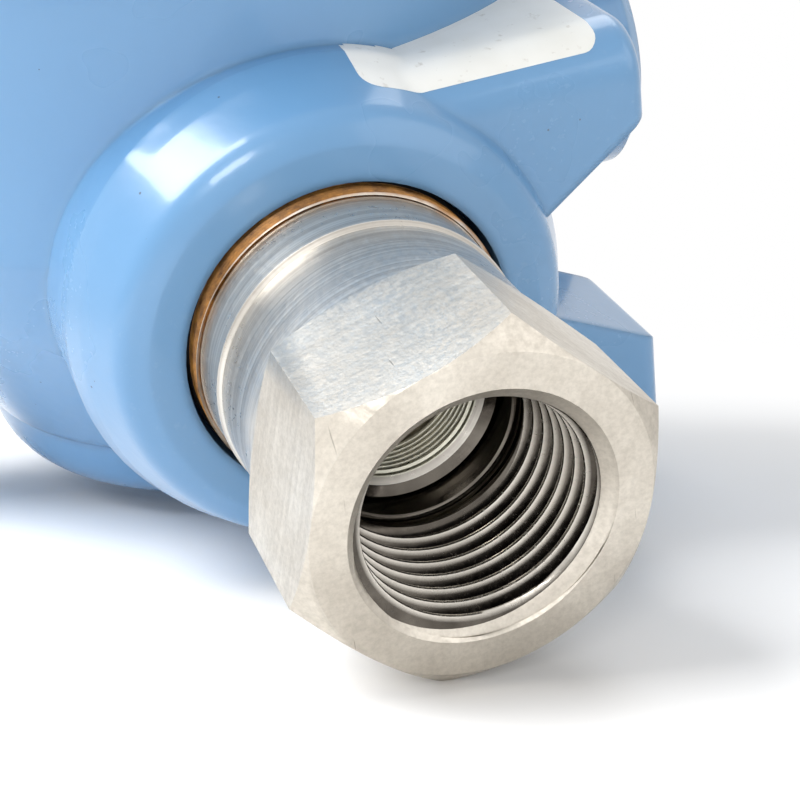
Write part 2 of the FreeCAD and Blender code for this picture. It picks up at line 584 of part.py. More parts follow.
for k, spot in enumerate(SPOTS):
    drill(terminals, "terminal_hole_%d" % k, "XZ_Plane", "terminalShank", "terminalDepth", "-(%s)" % FACE,
          "barrelHeight - blockStep / 2", x=spot, back=True)

clamps = group("wire_clamps", [
    turned_part("wire_clamp_%d" % k, [("terminalShank", "0"), ("clampRadius", "0"),
                                      ("clampRadius", "clampThick"),
                                      ("terminalShank", "clampThick")], spot, FACE,
                                      "barrelHeight - blockStep / 2",
                *TOWARD_REAR) for k, spot in enumerate(SPOTS)])
terminal_screws = group("terminal_screws", [
    turned_part("terminal_screw_%d" % k, [("0", "-terminalDepth"), ("terminalShank", "-terminalDepth"),
                                          ("terminalShank", "clampThick"), ("terminalRadius", "clampThick"),
                                          ("terminalRadius", "clampThick + terminalHead"),
                                          ("0", "clampThick + terminalHead")],
                spot, FACE, "barrelHeight - blockStep / 2", *TOWARD_REAR) for k, spot in enumerate(SPOTS)])


def earth_screw(label, x, y, z):
    """Screw with a captive washer, turned as one piece, that clamps an earth wire."""
    return turned_part(label, [("0", "-earthDepth"), ("earthShank", "-earthDepth"), ("earthShank", "0"),
                               ("washerRadius", "0"), ("washerRadius", "washerThick"),
                               ("earthRadius", "washerThick"),
                               ("earthRadius", "washerThick + earthHead"), ("0", "washerThick + earthHead")],
                       x, y, z, *TOWARD_REAR)


inner_earth = earth_screw("inner_earth_screw", "-earthX", "wallRear", "barrelHeight - earthZ")
outer_earth = earth_screw("outer_earth_screw", "earScrewX", "lugRear", "earScrewZ")


def socket_screw(label, length, x, y, z, axis, angle):
    """Headless screw with a hexagon socket in its outer end."""
    body = new_body(label)
    turn(body, label + "_turned", "Z", [("0", "0"), ("setRadius - 0.6", "0"), ("setRadius", "0.6"),
                                        ("setRadius", length), ("0", length)])
    sketch = new_sketch(body, label + "_socket", "XY_Plane", length)
    outline(sketch, [("setSocket * cos(%d)" % (60 * k), "setSocket * sin(%d)" % (60 * k)) for k in range(6)])
    extrude(body, label + "_recess", sketch, "setSocketDepth", cut=True)
    place(body, x, y, z, axis, angle)
    return body


set_screw = socket_screw("rotation_set_screw", "setLength", "0", "neckHole + setGap", "setHeight",
                         *TOWARD_REAR)
front_lock = socket_screw("front_lock_screw", "lockLength", "0", "-frontLip + lockInset",
                          "barrelHeight + frontThread + setGap", *UPWARD)
rear_lock = socket_screw("rear_lock_screw", "lockLength", "0", "rearLip - lockInset",
                         "barrelHeight + rearThread + setGap", *UPWARD)

conduit_plug = new_body("conduit_plug")
PLUG = "(conduitRadius - plugFit)"
turn(conduit_plug, "plug_turned", "X",
     [("-collarReach + plugLength", "0"), ("-collarReach - plugHeadThick", "0"),
      ("-collarReach - plugHeadThick", "plugHead - 0.8"), ("-collarReach - plugHeadThick + 0.8", "plugHead"),
      ("-collarReach - 0.1", "plugHead"), ("-collarReach - 0.1", PLUG), ("-collarReach + plugLength", PLUG)],
     rise="armHeight")
socket_sketch = new_sketch(conduit_plug, "plug_socket_outline", "YZ_Plane",
                           "-collarReach - plugHeadThick", "armHeight")
outline(socket_sketch,
        [("plugSocket * cos(%d)" % (60 * k), "plugSocket * sin(%d)" % (60 * k)) for k in range(6)])
extrude(conduit_plug, "plug_socket", socket_sketch, "plugSocketDepth", cut=True, back=True)

# ---------------------------------------------------------------- check every object, then write the parts
NODES = [connector, diaphragm, cell, header, plug, neck_seal, casting, front_cover, rear_cover,
         front_seal, rear_seal,
         standoffs, board_screws, board, chips, capacitor, flex, feed, terminals, clamps, terminal_screws,
         inner_earth, outer_earth, set_screw, front_lock, rear_lock, conduit_plug]

doc.recompute()
for obj in doc.Objects:
    if "Invalid" in obj.State or "Error" in obj.State:
        raise RuntimeError("%s failed: %s" % (obj.Name, obj.State))
for node in NODES:
    if node.Shape.isNull() or not node.Shape.isValid() or node.Shape.Volume <= 0:
        raise RuntimeError(node.Label + " has no valid shape")
os.makedirs("parts", exist_ok=True)
for node in NODES:
    node.Shape.exportStep("parts/%s.step" % node.Label)
    print("%-24s %10.1f mm3  %d solid(s)" % (node.Label, node.Shape.Volume, len(node.Shape.Solids)))
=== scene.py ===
# %% [markdown]
# # Pressure transmitter
# A cast two-compartment housing stands on a turned stainless sensor module, whose hexagon carries the
# process thread.  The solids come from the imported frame, already in place, so this lesson only
# dresses them: it gives every node its finish, replaces the connector by a finer one with a real pipe
# thread, and adds the trim.

# %%  Load the frame
import bpy
import bmesh
import math
from mathutils import Matrix, Vector


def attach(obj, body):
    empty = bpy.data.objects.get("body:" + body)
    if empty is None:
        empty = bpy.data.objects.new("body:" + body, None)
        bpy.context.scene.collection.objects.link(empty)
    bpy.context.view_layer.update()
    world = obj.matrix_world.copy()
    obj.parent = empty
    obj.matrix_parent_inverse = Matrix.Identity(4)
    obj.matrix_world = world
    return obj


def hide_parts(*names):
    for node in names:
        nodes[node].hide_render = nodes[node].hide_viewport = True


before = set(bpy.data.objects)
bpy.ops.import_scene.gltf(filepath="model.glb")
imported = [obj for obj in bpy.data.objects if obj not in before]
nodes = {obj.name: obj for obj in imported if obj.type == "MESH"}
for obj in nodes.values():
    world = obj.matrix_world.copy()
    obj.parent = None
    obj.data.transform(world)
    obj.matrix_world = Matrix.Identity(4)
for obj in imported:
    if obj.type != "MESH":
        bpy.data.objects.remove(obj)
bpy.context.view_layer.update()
MM = 0.001

# %% [markdown]
# Shader sums read best as sums.  A small class wraps one socket, so that `1 - mask` or `grain * 0.3`
# adds the Math node by itself; a second class holds one finish and makes any other node from its
# type, its settings and what is plugged into it.  The other way is to place nodes one by one, which
# hides the sum in wiring.

# %%  Sockets as numbers, and a maker of finishes


class Value:
    """A socket that can be added, multiplied and compared."""

    def __init__(self, finish, socket):
        self.finish, self.socket = finish, socket

    def sum(self, operation, a, b):
        return self.finish.node("ShaderNodeMath", {"operation": operation}, {0: a, 1: b})

    def __add__(self, other): return self.sum("ADD", self, other)
    def __radd__(self, other): return self.sum("ADD", other, self)
    def __sub__(self, other): return self.sum("SUBTRACT", self, other)
    def __rsub__(self, other): return self.sum("SUBTRACT", other, self)
    def __mul__(self, other): return self.sum("MULTIPLY", self, other)
    def __rmul__(self, other): return self.sum("MULTIPLY", other, self)
    def __truediv__(self, other): return self.sum("DIVIDE", self, other)
    def __gt__(self, other): return self.sum("GREATER_THAN", self, other)
    def __lt__(self, other): return self.sum("LESS_THAN", self, other)


class Finish:
    """One material, made node by node."""

    def __init__(self, name):
        self.material = bpy.data.materials.new(name)
        self.material.use_nodes = True
        self.material.node_tree.nodes.clear()
        self.place = self.node("ShaderNodeTexCoord", out="Object")

    def node(self, kind, settings=None, inputs=None, out=0):
        made = self.material.node_tree.nodes.new(kind)
        for key, value in (settings or {}).items():
            if key == "stops":
                for stop, (spot, shade) in zip(made.color_ramp.elements, value):
                    stop.position, stop.color = spot, (shade, shade, shade, 1)
            else:
                setattr(made, key, value)
        for key, value in (inputs or {}).items():
            if isinstance(value, Value):
                self.material.node_tree.links.new(value.socket, made.inputs[key])
            else:
                made.inputs[key].default_value = value
        return Value(self, made.outputs[out])

    def stretched(self, x, y, z, turn=(0, 0, 0)):
        """Object coordinates turned, then scaled to features per metre."""
        return self.node("ShaderNodeMapping", {}, {0: self.place, 2: turn, 3: (x, y, z)})

    def noise(self, scale, detail=3, rough=0.5, at=None):
        return self.node("ShaderNodeTexNoise", {}, {
            "Vector": at or self.place, "Scale": scale, "Detail": detail, "Roughness": rough})

    def ramp(self, value, low, high):
        """Zero below the low value, one above the high one."""
        return self.node("ShaderNodeValToRGB", {"stops": [(low, 0), (high, 1)]}, {0: value})

    def smooth(self, value, low, high):
        """The same with soft ends, for a length."""
        return self.node("ShaderNodeMapRange", {"interpolation_type": "SMOOTHSTEP"},
                         {0: value, 1: low, 2: high, 3: 0.0, 4: 1.0})

    def bump(self, strength, depth, tall, normal=None):
        """Normal of a fine relief, whose full height is the depth in metres."""
        inputs = {"Strength": strength, "Distance": depth, "Height": tall}
        if normal:
            inputs["Normal"] = normal
        return self.node("ShaderNodeBump", inputs=inputs)

    def blend(self, mask, first, second):
        """Colour that goes from the first to the second where the mask is one."""
        return self.node("ShaderNodeMix", {"data_type": "RGBA"}, {0: mask, 6: first, 7: second}, out=2)

    def surface(self, inputs):
        shader = self.node("ShaderNodeBsdfPrincipled", {}, inputs)
        output = self.material.node_tree.nodes.new("ShaderNodeOutputMaterial")
        self.material.node_tree.links.new(shader.socket, output.inputs["Surface"])
        return self.material


def rgb(red, green, blue):
    """Screen colour of 0 to 255 as a linear one."""
    def linear(c):
        c /= 255
        return c / 12.92 if c < 0.04045 else ((c + 0.055) / 1.055) ** 2.4

    return (linear(red), linear(green), linear(blue), 1)


print("finish maker ready")

# %% [markdown]
# The casting is aluminium under a glossy blue enamel.  Real enamel is not one blue: it pools in
# hollows and dulls where dust settles, it has a slight orange peel, and small specks of dust and
# chips show in it.  The sharp creases where the cast forms meet are soft under paint, so the shading
# normal is rounded there as well.

# %%  Blue enamel


def enamel(name, round_by=1.4):
    f = Finish(name)
    cloud = f.ramp(f.noise(16, 2, 0.45), 0.2, 0.8)
    blue = f.blend(cloud, rgb(93, 139, 181), rgb(103, 151, 193))
    specks = f.node("ShaderNodeTexVoronoi", {"feature": "F1"}, {"Vector": f.place, "Scale": 480.0})
    pick = f.noise(170, 2) > 0.585
    speck = (specks < 0.06) * pick
    blue = f.blend(speck * 0.75, blue, rgb(58, 62, 70))
    dust = f.ramp(f.noise(1100, 2, 0.7), 0.62, 0.76) * f.ramp(f.noise(24, 2), 0.45, 0.8)
    blue = f.blend(dust * 0.22, blue, rgb(206, 216, 224))
    peel = f.noise(620, 2, 0.4) + f.noise(120, 2) * 1.1
    soft = f.node("ShaderNodeBevel", {"samples": 6}, {"Radius": round_by * MM})
    skin = f.bump(0.16, 0.16 * MM, peel, soft)
    rough = 0.24 + dust * 0.3 + speck * 0.3 + f.noise(55, 3) * 0.08
    return f.surface({"Base Color": blue, "Roughness": rough, "Coat Weight": 0.6, "Coat Roughness": 0.09,
                      "Normal": skin})


blue_enamel = enamel("blue_enamel")
print("made", blue_enamel.name)

# %% [markdown]
# The connector is one turned stainless piece: the hexagon is bead-blasted and handled, with dark
# scratches and stains, the neck is bright from the lathe, and a brown grease sits on the fine thread
# above the shoulder.  One finish with bands of height keeps these together, because the band edges
# then fall exactly at the steps.

# %%  Stainless steel of the connector
HEX_END, NECK_START = 13.8 * MM, 14.9 * MM
GREASE_START, GREASE_FULL = 29.5 * MM, 29.9 * MM
PORT_RADIUS, PORT_START, PORT_BACK, TAP_END = 10.63 * MM, 0.9 * MM, 19.2 * MM, 13.5 * MM
DEEP_RADIUS, OUTSIDE_FROM = 7.3 * MM, 12.0 * MM


def stainless(name):
    f = Finish(name)
    z = f.node("ShaderNodeSeparateXYZ", {}, {0: f.place}, out="Z")
    band = f.smooth(z, HEX_END, NECK_START)
    grease = f.smooth(z + (f.noise(260, 3) - 0.5) * 0.6 * MM, GREASE_START, GREASE_FULL)
    flat = f.node("ShaderNodeVectorMath", {"operation": "MULTIPLY"}, {0: f.place, 1: (1, 1, 0)})
    radius = f.node("ShaderNodeVectorMath", {"operation": "LENGTH"}, {0: flat}, out="Value")
    inside = (radius < PORT_RADIUS) * (z > PORT_START) * (z < PORT_BACK)
    turned = band * (radius > OUTSIDE_FROM) * (1 - grease)
    stain = f.ramp(f.noise(95, 5, 0.62), 0.36, 0.70)
    grit = f.ramp(f.noise(1900, 2, 0.75), 0.35, 0.68)
    blasted = f.blend(stain * 0.8, rgb(224, 217, 205), rgb(186, 178, 166))
    brushed = f.ramp(f.noise(1.0, 3, 0.6, f.stretched(70, 70, 1500)), 0.3, 0.75)
    blasted = f.blend(brushed * 0.35, blasted, rgb(150, 142, 131))
    blasted = f.blend(grit * 0.16, blasted, rgb(96, 90, 82))
    marks = None
    for turn, scale in ((0.5, 260), (1.35, 330), (2.4, 210)):
        line = f.noise(1.0, 2, 0.5, f.stretched(scale * 9, scale * 0.5, scale * 0.6, (0.3, 0.2, turn)))
        mark = f.ramp(line, 0.735, 0.775)
        marks = mark if marks is None else marks + mark
    blasted = f.blend(marks * 0.45, blasted, rgb(84, 76, 68))
    rings = f.noise(1.0, 2, 0.6, f.stretched(30, 30, 3600))
    bright = f.blend(f.ramp(rings, 0.3, 0.75), rgb(218, 213, 204), rgb(170, 163, 154))
    steel = f.blend(band, blasted, bright)
    thick = f.ramp(f.noise(480, 4, 0.7), 0.32, 0.72)
    oil = f.blend(thick, rgb(190, 132, 60), rgb(74, 44, 18))
    steel = f.blend(grease, steel, oil)
    # Painted shade: inside the port the wall is painted as dark steel, in patches, to stand for the shade of
    # the hole. Only the crests of the tapped thread keep a light steel colour.
    port_shade_patches = f.ramp(f.noise(140, 4, 0.6), 0.35, 0.7)
    crest = f.node("ShaderNodeClamp", {}, {0: (9.6 * MM - z / 32 - radius) * 2600})
    wall = f.blend(port_shade_patches, rgb(112, 106, 98), rgb(60, 55, 50))
    steel = f.blend(inside, steel, f.blend(crest * (z < TAP_END), wall, rgb(206, 200, 190)))
    deep = (radius < DEEP_RADIUS) * (z > PORT_BACK + 0.1 * MM)
    steel = f.blend(deep, steel, rgb(214, 212, 196))
    rough = 0.36 - band * 0.1 + grit * 0.1 + stain * 0.06 + grease * 0.1 - inside * 0.2
    matt = (1 - band) * (1 - inside)
    pitted = f.noise(2600, 2, 0.6) * 0.7 + f.noise(240, 4, 0.6) * 1.2
    tall = (pitted - marks * 0.6) * matt + rings * band * 0.16
    return f.surface({"Base Color": steel, "Metallic": 1 - grease * 0.75 - turned * 0.16, "Roughness": rough,
                      "Normal": f.bump(0.22, 0.12 * MM, tall)})


connector_steel = stainless("connector_steel")
print("made", connector_steel.name)

# %% [markdown]
# The small metals, plastics and rubbers inside share three recipes.  A metal has fine turning lines
# and stains, a moulding has a fine spark-eroded grain, and rubber is matt with a dusty bloom.
# Writing the recipe once and giving it a colour keeps the family alike, as parts from one supplier
# are.

# %%  Recipes for the small parts


def metal(name, light, dark, rough, lines=1400.0):
    f = Finish(name)
    wear = f.ramp(f.noise(210, 4, 0.6), 0.3, 0.72)
    turned = f.noise(1.0, 2, 0.6, f.stretched(lines, lines * 0.08, lines * 0.5))
    tint = f.blend(wear, light, dark)
    tint = f.blend(f.ramp(turned, 0.62, 0.78) * 0.4, tint, dark)
    return f.surface({"Base Color": tint, "Metallic": 1.0, "Roughness": rough + wear * 0.14 + turned * 0.08,
                      "Normal": f.bump(0.2, 0.06 * MM, turned + wear * 0.5)})


def moulding(name, light, dark, rough, grain=2400.0):
    f = Finish(name)
    cloud = f.ramp(f.noise(120, 3, 0.6), 0.3, 0.7)
    pits = f.noise(grain, 2, 0.6)
    tint = f.blend(cloud, light, dark)
    tint = f.blend(f.ramp(pits, 0.66, 0.8) * 0.4, tint, rgb(150, 148, 142))
    return f.surface({"Base Color": tint, "Roughness": rough + cloud * 0.12,
                      "Normal": f.bump(0.25, 0.06 * MM, pits)})


def circuit_board(name):
    f = Finish(name)
    weave = f.node("ShaderNodeTexBrick", {"offset": 0.5}, {
        "Vector": f.stretched(1, 1, 1, (math.pi / 2, 0, 0)), "Color1": (0, 0, 0, 1), "Color2": (1, 1, 1, 1),
        "Mortar": (0.4, 0.4, 0.4, 1), "Scale": 420.0, "Mortar Size": 0.03}, out=0)
    track = f.node("ShaderNodeTexVoronoi", {"feature": "DISTANCE_TO_EDGE"},
                   {"Vector": f.place, "Scale": 260.0}) < 0.05
    green = f.blend(f.ramp(f.noise(150, 3), 0.3, 0.7), rgb(26, 92, 54), rgb(18, 70, 42))
    green = f.blend(track * 0.7, green, rgb(64, 138, 84))
    return f.surface({"Base Color": green, "Roughness": 0.34 + f.noise(300, 2) * 0.12, "Coat Weight": 0.4,
                      "Coat Roughness": 0.2, "Normal": f.bump(0.3, 0.05 * MM, track + weave * 0.2)})


print("recipes: metal, moulding, circuit_board")

# %% [markdown]
# Every node of the frame now gets its finish by name.  A node that a finer piece replaces later still
# gets one, so that nothing is left grey if the piece is hidden.

# %%  Give every node its finish
black_rubber = moulding("black_rubber", rgb(24, 24, 26), rgb(14, 14, 15), 0.62)
black_plastic = moulding("black_plastic", rgb(32, 33, 36), rgb(20, 21, 23), 0.42)
brass = metal("brass", rgb(214, 178, 96), rgb(150, 112, 48), 0.28)
bright_screw = metal("bright_screw", rgb(206, 204, 200), rgb(136, 132, 126), 0.3)
cell_steel = metal("cell_steel", rgb(192, 190, 186), rgb(140, 136, 130), 0.32)
foil = metal("wave_foil", rgb(216, 212, 204), rgb(168, 160, 148), 0.2, 2600.0)
aluminium = metal("can_aluminium", rgb(222, 223, 225), rgb(172, 174, 178), 0.26)
glass_seal = moulding("glass_seal", rgb(44, 74, 84), rgb(26, 46, 56), 0.14)
flex_film = moulding("flex_film", rgb(176, 108, 34), rgb(138, 78, 22), 0.3)
green_board = circuit_board("green_board")

FINISHES = {
    "process_connector": connector_steel, "isolating_diaphragm": foil, "sensor_cell": cell_steel,
    "header": glass_seal, "module_plug": black_plastic, "neck_seal": black_rubber,
    "housing_casting": blue_enamel, "front_cover": blue_enamel, "rear_cover": blue_enamel,
    "front_cover_seal": black_rubber, "rear_cover_seal": black_rubber, "board_standoffs": brass,
    "board_screws": bright_screw, "electronics_board": green_board, "board_chips": black_plastic,
    "filter_capacitor": aluminium, "signal_flex": flex_film, "wall_feedthrough": black_plastic,
    "terminal_block": black_plastic, "wire_clamps": brass, "terminal_screws": bright_screw,
    "inner_earth_screw": bright_screw, "outer_earth_screw": bright_screw, "rotation_set_screw": bright_screw,
    "front_lock_screw": bright_screw, "rear_lock_screw": bright_screw, "conduit_plug": black_plastic,
}
for name, node in nodes.items():
    node.data.materials.clear()
    node.data.materials.append(FINISHES[name])
print("dressed", len(FINISHES), "nodes; missing:", sorted(set(nodes) - set(FINISHES)))

# %% [markdown]
# New pieces are drawn in millimetres and shrunk to metres as they are finished.  `lathe` spins a line
# of corners about the vertical, as a turner would cut it; `pipe_thread` spins one tooth while it
# climbs, which is how a thread is chased; `finish_piece` sets the creases and hands the object to a
# body of the frame.

# %%  Helpers for turned pieces


def lathe(bm, corners, steps=96):
    """Spin a line of (radius, height) corners about Z."""
    line = [bm.verts.new((r, 0, z)) for r, z in corners]
    edges = [bm.edges.new(pair) for pair in zip(line, line[1:])]
    bmesh.ops.spin(bm, geom=line + edges, cent=(0, 0, 0), axis=(0, 0, 1), dvec=(0, 0, 0),
                   angle=math.tau, steps=steps, use_merge=True, use_duplicate=False)


def pipe_thread(root, crest, pitch, low, high, steps=72, per_pitch=12):
    """Mesh of a thread between two heights: one tooth, spun and lifted, then cut off level."""
    bm = bmesh.new()
    turns = math.ceil((high - low) / pitch) + 2
    line = []
    for k in range(per_pitch + 1):
        tooth = min(1.0, max(0.0, 1.25 * (1 - abs(2 * k / per_pitch - 1)) - 0.08))
        line.append(bm.verts.new((root + (crest - root) * tooth, 0, low - pitch + pitch * k / per_pitch)))
    edges = [bm.edges.new(pair) for pair in zip(line, line[1:])]
    bmesh.ops.spin(bm, geom=line + edges, cent=(0, 0, 0), axis=(0, 0, 1), dvec=(0, 0, pitch / steps),
                   angle=math.tau * turns, steps=steps * turns, use_merge=False, use_duplicate=False)
    bmesh.ops.remove_doubles(bm, verts=bm.verts, dist=0.002)
    for level, away in ((low, -1), (high, 1)):
        bmesh.ops.bisect_plane(bm, geom=bm.verts[:] + bm.edges[:] + bm.faces[:], dist=0.0001,
                               plane_co=(0, 0, level), plane_no=(0, 0, away), clear_outer=True)
    return bm


def face_axis(bm, inward):
    """Turn every face of a threaded wall to, or away from, the axis."""
    bm.normal_update()
    for face in bm.faces:
        middle = face.calc_center_median()
        out = face.normal.x * middle.x + face.normal.y * middle.y
        if (out > 0) == inward:
            face.normal_flip()


def finish_piece(name, bm, material, body, crease=32):
    bmesh.ops.scale(bm, vec=(MM, MM, MM), verts=bm.verts)
    mesh = bpy.data.meshes.new(name)
    bm.to_mesh(mesh)
    bm.free()
    for polygon in mesh.polygons:
        polygon.use_smooth = True
    mesh.set_sharp_from_angle(angle=math.radians(crease))
    mesh.materials.append(material)
    piece = bpy.data.objects.new(name, mesh)
    bpy.context.scene.collection.objects.link(piece)
    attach(piece, body)
    print(name, len(mesh.polygons), "faces on", body)
    return piece


print("helpers: lathe, pipe_thread, face_axis, finish_piece")

# %% [markdown]
# The hexagon's rounded corners come from turning a hexagonal bar: the chamfer is a cone, and where it
# meets each flat it leaves a curve.  So a hexagonal prism is intersected with a turned double cone,
# then the port is cut out, and a small bevel breaks the edges.  Modelling the curves by hand would
# never be as exact.

# %%  Hexagon, cut as a turner would
HEX_ACROSS, HEX_LENGTH, HEX_TURN = 27.0, 14.7, -14.4
NECK_RADIUS, MOUTH_RADIUS, BORE_RADIUS = 13.33, 10.65, 9.1


def temporary(name, bm):
    """Closed shape that is cut with, or cut, and thrown away."""
    bmesh.ops.recalc_face_normals(bm, faces=bm.faces)
    mesh = bpy.data.meshes.new(name)
    bm.to_mesh(mesh)
    bm.free()
    return bpy.data.objects.new(name, mesh)


corner = HEX_ACROSS / 2 / math.cos(math.pi / 6)
bar = bmesh.new()
bmesh.ops.create_cone(bar, cap_ends=True, segments=6, radius1=corner, radius2=corner, depth=HEX_LENGTH,
                      matrix=Matrix.Rotation(math.radians(HEX_TURN - 90), 4, "Z")
                      @ Matrix.Translation((0, 0, HEX_LENGTH / 2)))
hexagon = temporary("hexagon", bar)
blank = bmesh.new()
face_radius, outside = HEX_ACROSS / 2, 16.6
slope_front, slope_back = 3.92 / (corner + 2 - face_radius), 3.61 / (corner + 2 - NECK_RADIUS)
lathe(blank, [(0, 0), (face_radius, 0), (outside, (outside - face_radius) * slope_front),
              (outside, HEX_LENGTH - (outside - NECK_RADIUS) * slope_back), (NECK_RADIUS, HEX_LENGTH),
              (0, HEX_LENGTH)], 192)
bmesh.ops.remove_doubles(blank, verts=blank.verts, dist=0.0005)
cones = temporary("cones", blank)
plug = bmesh.new()
bmesh.ops.create_cone(plug, cap_ends=True, segments=144, radius1=MOUTH_RADIUS, radius2=MOUTH_RADIUS, depth=60)
drill = temporary("drill", plug)
for cutter in (cones, drill):
    bpy.context.scene.collection.objects.link(cutter)
bpy.context.scene.collection.objects.link(hexagon)
for cutter, operation in ((cones, "INTERSECT"), (drill, "DIFFERENCE")):
    cut = hexagon.modifiers.new(operation.lower(), "BOOLEAN")
    cut.operation, cut.object, cut.solver = operation, cutter, "EXACT"
edge = hexagon.modifiers.new("broken_edges", "BEVEL")
edge.width, edge.segments, edge.profile, edge.limit_method = 0.22, 3, 0.5, "ANGLE"
edge.angle_limit = math.radians(28)
bpy.context.view_layer.update()
hex_mesh = bpy.data.meshes.new_from_object(hexagon.evaluated_get(bpy.context.evaluated_depsgraph_get()))
for old in (hexagon, cones, drill):
    bpy.data.objects.remove(old)
print("hexagon", len(hex_mesh.polygons), "faces, corner radius", round(corner, 2), "mm")

# %% [markdown]
# The port is a half-inch taper pipe thread: fourteen turns to the inch, narrowing by one in sixteen
# of the diameter as it goes in.  The tooth is spun straight, then each ring of points is drawn in for
# the taper, pushed out where the countersink has cut it, and faded where the tap ran out.

# %%  Taper pipe thread in the port
PITCH, CREST, DEPTH, PORT_END, FADE_FROM = 1.814, 9.16, 1.44, 15.5, 13.2
port = pipe_thread(CREST + DEPTH, CREST, PITCH, 0.0, PORT_END)
for vert in port.verts:
    z, r = vert.co.z, math.hypot(vert.co.x, vert.co.y)
    wanted = max(r - z / 32, MOUTH_RADIUS - z * 1.19)
    fade = min(1.0, max(0.0, (z - FADE_FROM) / 2.0))
    fade = fade * fade * (3 - 2 * fade)
    wanted = wanted * (1 - fade) + BORE_RADIUS * fade
    vert.co.x *= wanted / r
    vert.co.y *= wanted / r
face_axis(port, inward=True)
print("port thread", len(port.faces), "faces")

# %% [markdown]
# Behind the hexagon come a plain neck, a slightly larger shoulder and the module, and inside it the
# stepped bore that runs down to the wave diaphragm.  All of it is one closed line spun once.  The
# bore gets a few shallow machined rings, since the cutter leaves them and they catch the light deep
# in the hole.

# %%  Neck, shoulder, module and bore
turned = bmesh.new()
ribs = []
for k in range(6):
    z = 20.0 + k * 0.64
    ribs += [(7.2, z), (6.95, z + 0.1), (6.95, z + 0.3), (7.2, z + 0.42)]
neck = [(10.9, 14.5), (NECK_RADIUS, 14.5), (NECK_RADIUS, 24.1), (13.22, 24.3), (13.45, 24.55)]
shoulder = [(13.6, 24.75), (13.6, 29.4), (13.45, 29.6), (13.7, 29.6), (13.7, 31.9)]
module = [(14.08, 32.0), (12.4, 32.0), (12.4, 34.0), (14.08, 34.0), (14.08, 47.7), (13.8, 48.0)]
cell_seat = [(9.02, 48.0), (9.02, 32.5), (1.2, 32.5), (1.2, 24.5), (7.2, 24.5)]
relief = [(7.2, 19.6), (8.7, 18.7), (8.7, 15.7), (BORE_RADIUS, PORT_END), (10.9, PORT_END), (10.9, 14.5)]
lathe(turned, neck + shoulder + module + cell_seat + ribs[::-1] + relief, 128)
bmesh.ops.remove_doubles(turned, verts=turned.verts, dist=0.001)
bmesh.ops.recalc_face_normals(turned, faces=turned.faces)
band = pipe_thread(13.72, 14.08, 0.5, 29.6, 31.9, 96, 6)
face_axis(band, inward=False)
connector = bmesh.new()
connector.from_mesh(hex_mesh)
for part in (port, turned, band):
    copy = bpy.data.meshes.new("part")
    part.to_mesh(copy)
    part.free()
    connector.from_mesh(copy)
    bpy.data.meshes.remove(copy)
connector_piece = finish_piece("process_connector_threaded", connector, connector_steel, "sensor_module")
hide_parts("process_connector")

# %% [markdown]
# The open conduit entry has a straight thread of bare aluminium.  A short liner of thread is chased
# the same way and laid along the arm.  It stands a little proud of the bore, as the crests of a real
# entry do.

# %%  Thread in the open conduit entry
ARM_HEIGHT, ARM_END = 86.0, 49.0
entry = pipe_thread(9.35, 8.75, 1.5, 0.6, 15.0, 72, 8)
face_axis(entry, inward=True)
bmesh.ops.rotate(entry, verts=entry.verts, cent=(0, 0, 0), matrix=Matrix.Rotation(-math.pi / 2, 3, "Y"))
bmesh.ops.translate(entry, verts=entry.verts, vec=(ARM_END, 0, ARM_HEIGHT))
finish_piece("conduit_entry_thread", entry, aluminium, "housing")

# %% [markdown]
# The large front cover is screwed in by hand, so its rim is ribbed for grip; the small rear one is
# smooth, and both faces carry a shallow turned ring.  A cover is spun from its section, and then the
# points of its rim are drawn in between the ribs, which keeps the largest radius, and so the fit
# beside the barrel, as it was.  Cutting each groove by itself would need dozens of booleans.

# %%  Covers
BARREL_HEIGHT = 82.0
COVER_GAP, COVER_FLOOR, SKIRT_LENGTH, SKIRT_WALL = 0.3, 3.4, 8.5, 4.5
SEAL_AT, SEAL_HALF, SEAL_DEPTH = 1.8, 1.3, 2.3


